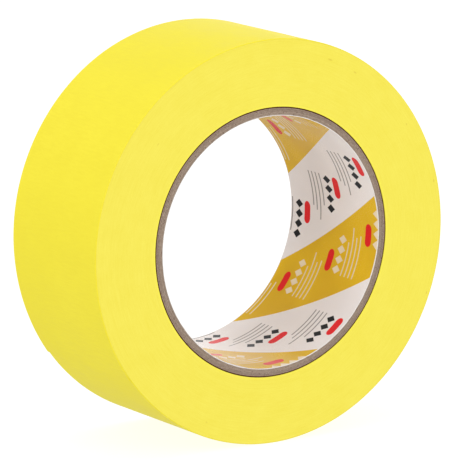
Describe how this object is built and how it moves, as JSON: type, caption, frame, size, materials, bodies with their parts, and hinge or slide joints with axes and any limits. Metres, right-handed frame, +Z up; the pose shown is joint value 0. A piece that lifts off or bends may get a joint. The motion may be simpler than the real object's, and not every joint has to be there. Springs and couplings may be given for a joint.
{
  "type": "masking tape roll",
  "caption": "Roll of yellow masking tape wound on a cardboard core with a printed liner; the free end peels up off the roll.",
  "frame": {"origin": "centre of the core's bore, halfway between the two side faces", "axes": "+Y along the roll's axis, towards the back side face; +Z up, with the roll standing on its rim; the tape's free end is on the -X side, below the middle"},
  "size_m": [0.1228, 0.048, 0.1227],
  "materials": {
    "liner_print": "glossy printed paper: diagonal white and ochre bands with plain red, black and white shapes",
    "chipboard": "grey-brown recycled board, cut edge",
    "kraft_paper": "brown kraft paper, cut edge",
    "tape_backing": "fine creped saturated paper, satin, pale yellow",
    "adhesive": "tacky, glossy, see-through over the backing"
  },
  "bodies": {
    "roll": {"core_liner": "liner_print", "core_ply_1": "chipboard", "core_ply_2": "chipboard", "core_ply_3": "chipboard", "core_ply_4": "chipboard", "core_kraft_ply": "kraft_paper", "wound_tape": "tape_backing", "outer_wrap": "tape_backing", "outer_wrap_adhesive": "adhesive"},
    "free_end": {"tape_end": "tape_backing", "tape_end_adhesive": "adhesive"}
  },
  "joints": [
    {"name": "free_end_peel", "type": "hinge", "parent": "roll", "child": "free_end", "pos_m": [-0.06056, 0, -0.01055], "axis": [0, 1, 0], "range_deg": [0, 150]}
  ]
}
